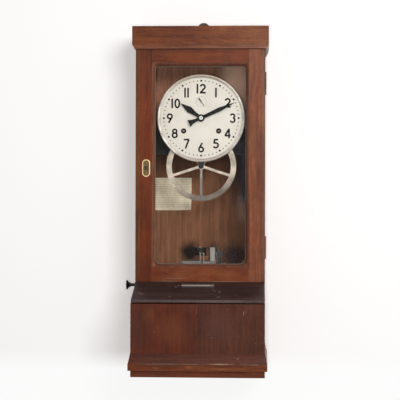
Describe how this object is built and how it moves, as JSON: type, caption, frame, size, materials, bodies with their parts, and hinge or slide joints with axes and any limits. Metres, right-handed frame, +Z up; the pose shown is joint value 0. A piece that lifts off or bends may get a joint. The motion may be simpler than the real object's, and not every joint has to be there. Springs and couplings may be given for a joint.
{
  "type": "time clock",
  "caption": "Wall time clock in a tall wooden case: glazed locking door, white dial, spoked day wheel, printing works under a sloping lid with a card slot, and a side push knob.",
  "frame": {"origin": "middle of the base's underside", "axes": "+Z up, -Y towards the person who stamps a card, +X to that person's right"},
  "size_m": [0.387, 0.2845, 0.965],
  "materials": {
    "case_wood": "satin varnish",
    "door_wood": "satin varnish",
    "lid_wood": "dark worn varnish",
    "back_wood": "plain stained board",
    "bead_wood": "satin varnish",
    "clear_glass": "clear pane",
    "dial_white": "satin enamel",
    "bezel_metal": "bright plated",
    "hand_black": "matt black",
    "black_iron": "black japanned",
    "brass": "lacquered",
    "steel": "bright steel",
    "dark_steel": "dark oiled steel",
    "nickel": "aged nickel",
    "blue_black": "dark enamel",
    "card_paper": "aged paper card",
    "knob_black": "polished ebonite"
  },
  "bodies": {
    "case": {"side_left": "case_wood", "side_right": "case_wood", "back_boards": "back_wood", "base_block": "case_wood", "base_moulding": "case_wood", "front_boards": "case_wood", "lid_board": "lid_wood", "sill_rail": "case_wood", "cornice_front": "case_wood", "cornice_returns": "case_wood", "cornice_cap": "case_wood", "cornice_moulding": "case_wood", "hanging_plate": "dark_steel", "wood_screws": "dark_steel", "slot_plate": "steel", "card_chute": "dark_steel", "seat_bar": "black_iron", "movement_plates": "brass", "movement_pillars": "brass", "dial_plate": "dial_white", "dial_bezel": "bezel_metal", "dial_feet": "brass", "winding_rings": "hand_black", "wheel_bracket": "black_iron", "escapement_platform": "brass", "side_strip": "blue_black", "instruction_card": "card_paper", "print_bed": "steel", "print_frame": "dark_steel", "print_post": "dark_steel", "print_pins": "steel", "push_bush": "knob_black", "case_hinges": "brass"},
    "door": {"stile_left": "door_wood", "stile_right": "door_wood", "rail_top": "door_wood", "rail_bottom": "door_wood", "glass": "clear_glass", "glass_bead": "bead_wood", "escutcheon": "brass", "escutcheon_screws": "brass", "door_hinges": "brass"},
    "lock": {"lock_cylinder": "dark_steel"},
    "centre": {"centre_arbor": "steel", "minute_hand": "hand_black"},
    "minute_works": {"minute_wheel": "brass"},
    "hour_works": {"hour_wheel": "brass", "hour_hand": "hand_black"},
    "programme": {"programme_wheel": "nickel"},
    "third": {"third_wheel": "brass"},
    "seconds": {"seconds_arbor": "steel", "second_hand": "hand_black"},
    "left_barrel": {"barrel_left": "brass"},
    "right_barrel": {"barrel_right": "brass"},
    "balance": {"balance_wheel": "brass"},
    "types": {"type_wheels": "steel"},
    "spool": {"ribbon_spool": "knob_black"},
    "push": {"push_knob": "knob_black", "push_rod": "steel"},
    "hammer_arm": {"hammer": "dark_steel"}
  },
  "joints": [
    {"name": "door_swing", "type": "hinge", "parent": "case", "child": "door", "pos_m": [0.1753, -0.008, 0.555], "axis": [0, 0, 1], "range_deg": [0, 110]},
    {"name": "lock_turn", "type": "hinge", "parent": "door", "child": "lock", "pos_m": [-0.146, -0.02, 0.547], "axis": [0, 1, 0], "range_deg": [0, 90]},
    {"name": "minute_turn", "type": "hinge", "parent": "case", "child": "centre", "pos_m": [0, 0.04, 0.685], "axis": [0, 1, 0], "continuous": true},
    {"name": "minute_wheel_turn", "type": "hinge", "parent": "case", "child": "minute_works", "pos_m": [0.00622, 0.022, 0.66182], "axis": [0, 1, 0], "continuous": true},
    {"name": "hour_turn", "type": "hinge", "parent": "case", "child": "hour_works", "pos_m": [0, 0.012, 0.685], "axis": [0, 1, 0], "continuous": true},
    {"name": "programme_turn", "type": "hinge", "parent": "case", "child": "programme", "pos_m": [0, 0.025, 0.554], "axis": [0, 1, 0], "continuous": true},
    {"name": "third_turn", "type": "hinge", "parent": "case", "child": "third", "pos_m": [0.00727, 0.04, 0.70913], "axis": [0, 1, 0], "continuous": true},
    {"name": "seconds_turn", "type": "hinge", "parent": "case", "child": "seconds", "pos_m": [0, 0.04, 0.73], "axis": [0, 1, 0], "continuous": true},
    {"name": "left_barrel_turn", "type": "hinge", "parent": "case", "child": "left_barrel", "pos_m": [-0.048, 0.04, 0.65], "axis": [0, 1, 0], "continuous": true},
    {"name": "right_barrel_turn", "type": "hinge", "parent": "case", "child": "right_barrel", "pos_m": [0.048, 0.04, 0.65], "axis": [0, 1, 0], "continuous": true},
    {"name": "balance_swing", "type": "hinge", "parent": "case", "child": "balance", "pos_m": [-0.042, 0.08, 0.707], "axis": [0, 1, 0], "range_deg": [-120, 120], "stiffness_Nm_per_rad": 0.00002},
    {"name": "type_turn", "type": "hinge", "parent": "case", "child": "types", "pos_m": [-0.004, -0.0258, 0.176], "axis": [1, 0, 0], "continuous": true},
    {"name": "spool_turn", "type": "hinge", "parent": "case", "child": "spool", "pos_m": [-0.002, 0.034, 0.32], "axis": [0, 0, 1], "continuous": true},
    {"name": "knob_push", "type": "slide", "parent": "case", "child": "push", "axis": [1, 0, 0], "range_m": [0, 0.01], "stiffness_N_per_m": 400, "springref_m": -0.01},
    {"name": "hammer_swing", "type": "hinge", "parent": "case", "child": "hammer_arm", "pos_m": [-0.004, -0.082, 0.11], "axis": [-1, 0, 0], "range_deg": [0, 6]}
  ],
  "couplings": [
    {"joint": "minute_wheel_turn", "follows": "minute_turn", "ratio": -0.33333},
    {"joint": "hour_turn", "follows": "minute_turn", "ratio": 0.083333},
    {"joint": "programme_turn", "follows": "minute_turn", "ratio": 0.041667},
    {"joint": "third_turn", "follows": "minute_turn", "ratio": -8},
    {"joint": "seconds_turn", "follows": "minute_turn", "ratio": 60},
    {"joint": "left_barrel_turn", "follows": "minute_turn", "ratio": -0.125},
    {"joint": "right_barrel_turn", "follows": "minute_turn", "ratio": -0.125},
    {"joint": "hammer_swing", "follows": "knob_push", "rad_per_m": 10.472}
  ]
}
